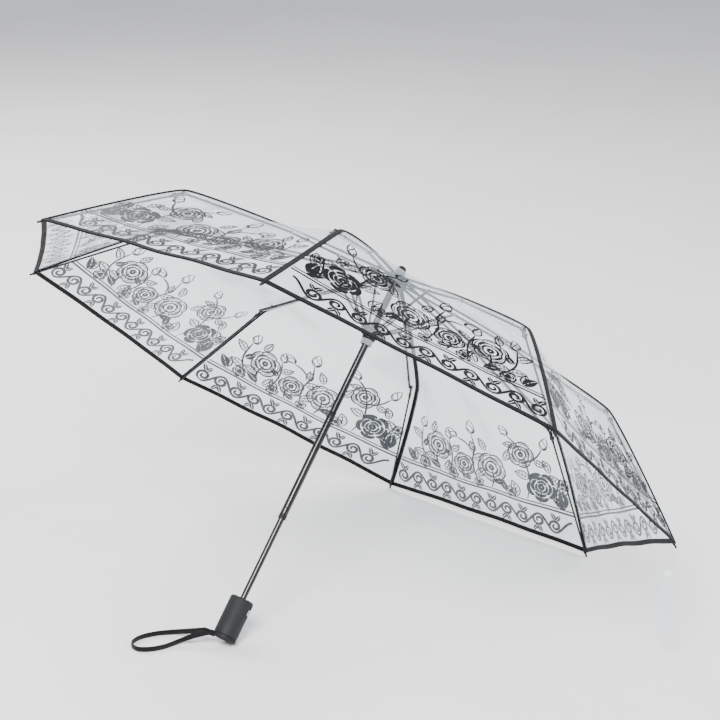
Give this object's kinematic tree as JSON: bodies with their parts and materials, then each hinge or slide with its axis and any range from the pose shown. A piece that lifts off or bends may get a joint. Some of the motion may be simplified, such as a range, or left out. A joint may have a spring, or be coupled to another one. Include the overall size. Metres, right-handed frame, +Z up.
{
  "type": "folding umbrella",
  "caption": "Open three-fold umbrella with clear film panels, folding black ribs, a telescoping shaft, a runner and a push-button handle, resting on its handle and two rib tips.",
  "frame": {"origin": "centre of the bounding box, on the surface that the umbrella stands on", "axes": "+Z up; the shaft leans from the handle at -X towards +X, in the XZ plane, which is the symmetry plane of the canopy"},
  "size_m": [0.7108, 0.9046, 0.5815],
  "materials": {
    "black_steel": "gloss black paint on thin steel",
    "black_plastic": "moulded black nylon",
    "handle_plastic": "soft-touch charcoal",
    "grey_plastic": "moulded grey acetal",
    "webbing": "woven black webbing",
    "spring_steel": "bright wire",
    "fibreglass": "black pultruded rod",
    "clear_film": "clear film printed in black",
    "white_plastic": "white press stud"
  },
  "bodies": {
    "handle": {"handle_barrel": "handle_plastic", "handle_end_cap": "black_plastic", "button_spring": "spring_steel", "lower_tube": "black_steel", "opening_spring": "spring_steel", "wrist_strap": "webbing"},
    "push_button": {"push_button": "black_plastic"},
    "middle_tube": {"middle_tube": "black_steel", "lower_bush": "black_plastic", "upper_bush": "black_plastic"},
    "upper_tube": {"upper_tube": "black_steel", "crown": "black_plastic", "top_cap": "black_plastic", "film_panel_1": "clear_film", "film_panel_2": "clear_film", "film_panel_3": "clear_film", "film_panel_4": "clear_film", "film_panel_5": "clear_film", "film_panel_6": "clear_film", "film_panel_7": "clear_film", "film_panel_8": "clear_film"},
    "runner": {"runner": "black_plastic", "runner_bush": "grey_plastic"},
    "inner_rib_1": {"inner_rib_1": "black_steel"},
    "middle_rib_1": {"middle_rib_1": "black_steel"},
    "outer_rib_1": {"outer_rib_1": "fibreglass"},
    "stretcher_1": {"stretcher_1": "black_steel"},
    "inner_rib_2": {"inner_rib_2": "black_steel"},
    "middle_rib_2": {"middle_rib_2": "black_steel"},
    "outer_rib_2": {"outer_rib_2": "fibreglass"},
    "stretcher_2": {"stretcher_2": "black_steel"},
    "inner_rib_3": {"inner_rib_3": "black_steel"},
    "middle_rib_3": {"middle_rib_3": "black_steel"},
    "outer_rib_3": {"outer_rib_3": "fibreglass"},
    "stretcher_3": {"stretcher_3": "black_steel"},
    "inner_rib_4": {"inner_rib_4": "black_steel"},
    "middle_rib_4": {"middle_rib_4": "black_steel"},
    "outer_rib_4": {"outer_rib_4": "fibreglass"},
    "stretcher_4": {"stretcher_4": "black_steel"},
    "inner_rib_5": {"inner_rib_5": "black_steel"},
    "middle_rib_5": {"middle_rib_5": "black_steel"},
    "outer_rib_5": {"outer_rib_5": "fibreglass"},
    "stretcher_5": {"stretcher_5": "black_steel"},
    "inner_rib_6": {"inner_rib_6": "black_steel"},
    "middle_rib_6": {"middle_rib_6": "black_steel"},
    "outer_rib_6": {"outer_rib_6": "fibreglass"},
    "stretcher_6": {"stretcher_6": "black_steel"},
    "inner_rib_7": {"inner_rib_7": "black_steel"},
    "middle_rib_7": {"middle_rib_7": "black_steel"},
    "outer_rib_7": {"outer_rib_7": "fibreglass", "closing_strap": "clear_film", "strap_snap": "white_plastic"},
    "stretcher_7": {"stretcher_7": "black_steel"},
    "inner_rib_8": {"inner_rib_8": "black_steel"},
    "middle_rib_8": {"middle_rib_8": "black_steel"},
    "outer_rib_8": {"outer_rib_8": "fibreglass"},
    "stretcher_8": {"stretcher_8": "black_steel"}
  },
  "joints": [
    {"name": "button_press", "type": "slide", "parent": "handle", "child": "push_button", "axis": [-0.2999, 0.9239, 0.2377], "range_m": [0, 0.0015], "stiffness_N_per_m": 900, "deforming": ["button_spring"]},
    {"name": "shaft_lower_slide", "type": "slide", "parent": "handle", "child": "middle_tube", "axis": [-0.6211, 0, -0.7838], "range_m": [0, 0.115], "deforming": ["opening_spring"]},
    {"name": "shaft_upper_slide", "type": "slide", "parent": "middle_tube", "child": "upper_tube", "axis": [-0.6211, 0, -0.7838], "range_m": [0, 0.1265]},
    {"name": "canopy_fold", "type": "slide", "parent": "upper_tube", "child": "runner", "axis": [-0.6211, 0, -0.7838], "range_m": [0, 0.1155], "deforming": ["film_panel_1", "film_panel_2", "film_panel_3", "film_panel_4", "film_panel_5", "film_panel_6", "film_panel_7", "film_panel_8"]},
    {"name": "crown_hinge_1", "type": "hinge", "parent": "upper_tube", "child": "inner_rib_1", "pos_m": [0.12303, 0.00421, 0.42109], "axis": [-0.2999, 0.9239, 0.2377], "range_deg": [0, 80.7]},
    {"name": "knee_hinge_1", "type": "hinge", "parent": "inner_rib_1", "child": "middle_rib_1", "pos_m": [0.22874, 0.06697, 0.31053], "axis": [-0.2999, 0.9239, 0.2377], "range_deg": [-179.04, 0]},
    {"name": "elbow_hinge_1", "type": "hinge", "parent": "middle_rib_1", "child": "outer_rib_1", "pos_m": [0.32286, 0.1282, 0.19129], "axis": [-0.2999, 0.9239, 0.2377], "range_deg": [0, 147.45]},
    {"name": "stretcher_hinge_1", "type": "hinge", "parent": "runner", "child": "stretcher_1", "pos_m": [0.07485, 0.00402, 0.36103], "axis": [-0.2999, 0.9239, 0.2377], "range_deg": [-50.18, 0]},
    {"name": "crown_hinge_2", "type": "hinge", "parent": "upper_tube", "child": "inner_rib_2", "pos_m": [0.11837, 0.01016, 0.42479], "axis": [-0.7241, 0.3827, 0.5738], "range_deg": [0, 80.7]},
    {"name": "knee_hinge_2", "type": "hinge", "parent": "inner_rib_2", "child": "middle_rib_2", "pos_m": [0.15451, 0.16168, 0.36935], "axis": [-0.7241, 0.3827, 0.5738], "range_deg": [-179.04, 0]},
    {"name": "elbow_hinge_2", "type": "hinge", "parent": "middle_rib_2", "child": "outer_rib_2", "pos_m": [0.18077, 0.3095, 0.3039], "axis": [-0.7241, 0.3827, 0.5738], "range_deg": [0, 147.45]},
    {"name": "stretcher_hinge_2", "type": "hinge", "parent": "runner", "child": "stretcher_2", "pos_m": [0.0704, 0.0097, 0.36456], "axis": [-0.7241, 0.3827, 0.5738], "range_deg": [-50.18, 0]},
    {"name": "crown_hinge_3", "type": "hinge", "parent": "upper_tube", "child": "inner_rib_3", "pos_m": [0.11177, 0.01016, 0.43002], "axis": [-0.7241, -0.3827, 0.5738], "range_deg": [0, 80.7]},
    {"name": "knee_hinge_3", "type": "hinge", "parent": "inner_rib_3", "child": "middle_rib_3", "pos_m": [0.04954, 0.16168, 0.45254], "axis": [-0.7241, -0.3827, 0.5738], "range_deg": [-179.04, 0]},
    {"name": "elbow_hinge_3", "type": "hinge", "parent": "middle_rib_3", "child": "outer_rib_3", "pos_m": [-0.02019, 0.3095, 0.46314], "axis": [-0.7241, -0.3827, 0.5738], "range_deg": [0, 147.45]},
    {"name": "stretcher_hinge_3", "type": "hinge", "parent": "runner", "child": "stretcher_3", "pos_m": [0.0641, 0.0097, 0.36955], "axis": [-0.7241, -0.3827, 0.5738], "range_deg": [-50.18, 0]},
    {"name": "crown_hinge_4", "type": "hinge", "parent": "upper_tube", "child": "inner_rib_4", "pos_m": [0.1071, 0.00421, 0.43372], "axis": [-0.2999, -0.9239, 0.2377], "range_deg": [0, 80.7]},
    {"name": "knee_hinge_4", "type": "hinge", "parent": "inner_rib_4", "child": "middle_rib_4", "pos_m": [-0.02469, 0.06697, 0.51136], "axis": [-0.2999, -0.9239, 0.2377], "range_deg": [-179.04, 0]},
    {"name": "elbow_hinge_4", "type": "hinge", "parent": "middle_rib_4", "child": "outer_rib_4", "pos_m": [-0.16228, 0.1282, 0.57574], "axis": [-0.2999, -0.9239, 0.2377], "range_deg": [0, 147.45]},
    {"name": "stretcher_hinge_4", "type": "hinge", "parent": "runner", "child": "stretcher_4", "pos_m": [0.05964, 0.00402, 0.37308], "axis": [-0.2999, -0.9239, 0.2377], "range_deg": [-50.18, 0]},
    {"name": "crown_hinge_5", "type": "hinge", "parent": "upper_tube", "child": "inner_rib_5", "pos_m": [0.1071, -0.00421, 0.43372], "axis": [0.2999, -0.9239, -0.2377], "range_deg": [0, 80.7]},
    {"name": "knee_hinge_5", "type": "hinge", "parent": "inner_rib_5", "child": "middle_rib_5", "pos_m": [-0.02469, -0.06697, 0.51136], "axis": [0.2999, -0.9239, -0.2377], "range_deg": [-179.04, 0]},
    {"name": "elbow_hinge_5", "type": "hinge", "parent": "middle_rib_5", "child": "outer_rib_5", "pos_m": [-0.16228, -0.1282, 0.57574], "axis": [0.2999, -0.9239, -0.2377], "range_deg": [0, 147.45]},
    {"name": "stretcher_hinge_5", "type": "hinge", "parent": "runner", "child": "stretcher_5", "pos_m": [0.05964, -0.00402, 0.37308], "axis": [0.2999, -0.9239, -0.2377], "range_deg": [-50.18, 0]},
    {"name": "crown_hinge_6", "type": "hinge", "parent": "upper_tube", "child": "inner_rib_6", "pos_m": [0.11177, -0.01016, 0.43002], "axis": [0.7241, -0.3827, -0.5738], "range_deg": [0, 80.7]},
    {"name": "knee_hinge_6", "type": "hinge", "parent": "inner_rib_6", "child": "middle_rib_6", "pos_m": [0.04954, -0.16168, 0.45254], "axis": [0.7241, -0.3827, -0.5738], "range_deg": [-179.04, 0]},
    {"name": "elbow_hinge_6", "type": "hinge", "parent": "middle_rib_6", "child": "outer_rib_6", "pos_m": [-0.02019, -0.3095, 0.46314], "axis": [0.7241, -0.3827, -0.5738], "range_deg": [0, 147.45]},
    {"name": "stretcher_hinge_6", "type": "hinge", "parent": "runner", "child": "stretcher_6", "pos_m": [0.0641, -0.0097, 0.36955], "axis": [0.7241, -0.3827, -0.5738], "range_deg": [-50.18, 0]},
    {"name": "crown_hinge_7", "type": "hinge", "parent": "upper_tube", "child": "inner_rib_7", "pos_m": [0.11837, -0.01016, 0.42479], "axis": [0.7241, 0.3827, -0.5738], "range_deg": [0, 80.7]},
    {"name": "knee_hinge_7", "type": "hinge", "parent": "inner_rib_7", "child": "middle_rib_7", "pos_m": [0.15451, -0.16168, 0.36935], "axis": [0.7241, 0.3827, -0.5738], "range_deg": [-179.04, 0]},
    {"name": "elbow_hinge_7", "type": "hinge", "parent": "middle_rib_7", "child": "outer_rib_7", "pos_m": [0.18077, -0.3095, 0.3039], "axis": [0.7241, 0.3827, -0.5738], "range_deg": [0, 147.45], "deforming": ["closing_strap", "strap_snap"]},
    {"name": "stretcher_hinge_7", "type": "hinge", "parent": "runner", "child": "stretcher_7", "pos_m": [0.0704, -0.0097, 0.36456], "axis": [0.7241, 0.3827, -0.5738], "range_deg": [-50.18, 0]},
    {"name": "crown_hinge_8", "type": "hinge", "parent": "upper_tube", "child": "inner_rib_8", "pos_m": [0.12303, -0.00421, 0.42109], "axis": [0.2999, 0.9239, -0.2377], "range_deg": [0, 80.7]},
    {"name": "knee_hinge_8", "type": "hinge", "parent": "inner_rib_8", "child": "middle_rib_8", "pos_m": [0.22874, -0.06697, 0.31053], "axis": [0.2999, 0.9239, -0.2377], "range_deg": [-179.04, 0]},
    {"name": "elbow_hinge_8", "type": "hinge", "parent": "middle_rib_8", "child": "outer_rib_8", "pos_m": [0.32286, -0.1282, 0.19129], "axis": [0.2999, 0.9239, -0.2377], "range_deg": [0, 147.45]},
    {"name": "stretcher_hinge_8", "type": "hinge", "parent": "runner", "child": "stretcher_8", "pos_m": [0.07485, -0.00402, 0.36103], "axis": [0.2999, 0.9239, -0.2377], "range_deg": [-50.18, 0]}
  ],
  "couplings": [
    {"joint": "shaft_upper_slide", "follows": "shaft_lower_slide", "ratio": 1.1},
    {"joint": "crown_hinge_1", "follows": "canopy_fold", "rad_per_m": 12.195},
    {"joint": "knee_hinge_1", "follows": "canopy_fold", "rad_per_m": -27.055},
    {"joint": "elbow_hinge_1", "follows": "canopy_fold", "rad_per_m": 22.281},
    {"joint": "stretcher_hinge_1", "follows": "canopy_fold", "rad_per_m": -7.5827},
    {"joint": "crown_hinge_2", "follows": "canopy_fold", "rad_per_m": 12.195},
    {"joint": "knee_hinge_2", "follows": "canopy_fold", "rad_per_m": -27.055},
    {"joint": "elbow_hinge_2", "follows": "canopy_fold", "rad_per_m": 22.281},
    {"joint": "stretcher_hinge_2", "follows": "canopy_fold", "rad_per_m": -7.5827},
    {"joint": "crown_hinge_3", "follows": "canopy_fold", "rad_per_m": 12.195},
    {"joint": "knee_hinge_3", "follows": "canopy_fold", "rad_per_m": -27.055},
    {"joint": "elbow_hinge_3", "follows": "canopy_fold", "rad_per_m": 22.281},
    {"joint": "stretcher_hinge_3", "follows": "canopy_fold", "rad_per_m": -7.5827},
    {"joint": "crown_hinge_4", "follows": "canopy_fold", "rad_per_m": 12.195},
    {"joint": "knee_hinge_4", "follows": "canopy_fold", "rad_per_m": -27.055},
    {"joint": "elbow_hinge_4", "follows": "canopy_fold", "rad_per_m": 22.281},
    {"joint": "stretcher_hinge_4", "follows": "canopy_fold", "rad_per_m": -7.5827},
    {"joint": "crown_hinge_5", "follows": "canopy_fold", "rad_per_m": 12.195},
    {"joint": "knee_hinge_5", "follows": "canopy_fold", "rad_per_m": -27.055},
    {"joint": "elbow_hinge_5", "follows": "canopy_fold", "rad_per_m": 22.281},
    {"joint": "stretcher_hinge_5", "follows": "canopy_fold", "rad_per_m": -7.5827},
    {"joint": "crown_hinge_6", "follows": "canopy_fold", "rad_per_m": 12.195},
    {"joint": "knee_hinge_6", "follows": "canopy_fold", "rad_per_m": -27.055},
    {"joint": "elbow_hinge_6", "follows": "canopy_fold", "rad_per_m": 22.281},
    {"joint": "stretcher_hinge_6", "follows": "canopy_fold", "rad_per_m": -7.5827},
    {"joint": "crown_hinge_7", "follows": "canopy_fold", "rad_per_m": 12.195},
    {"joint": "knee_hinge_7", "follows": "canopy_fold", "rad_per_m": -27.055},
    {"joint": "elbow_hinge_7", "follows": "canopy_fold", "rad_per_m": 22.281},
    {"joint": "stretcher_hinge_7", "follows": "canopy_fold", "rad_per_m": -7.5827},
    {"joint": "crown_hinge_8", "follows": "canopy_fold", "rad_per_m": 12.195},
    {"joint": "knee_hinge_8", "follows": "canopy_fold", "rad_per_m": -27.055},
    {"joint": "elbow_hinge_8", "follows": "canopy_fold", "rad_per_m": 22.281},
    {"joint": "stretcher_hinge_8", "follows": "canopy_fold", "rad_per_m": -7.5827}
  ]
}
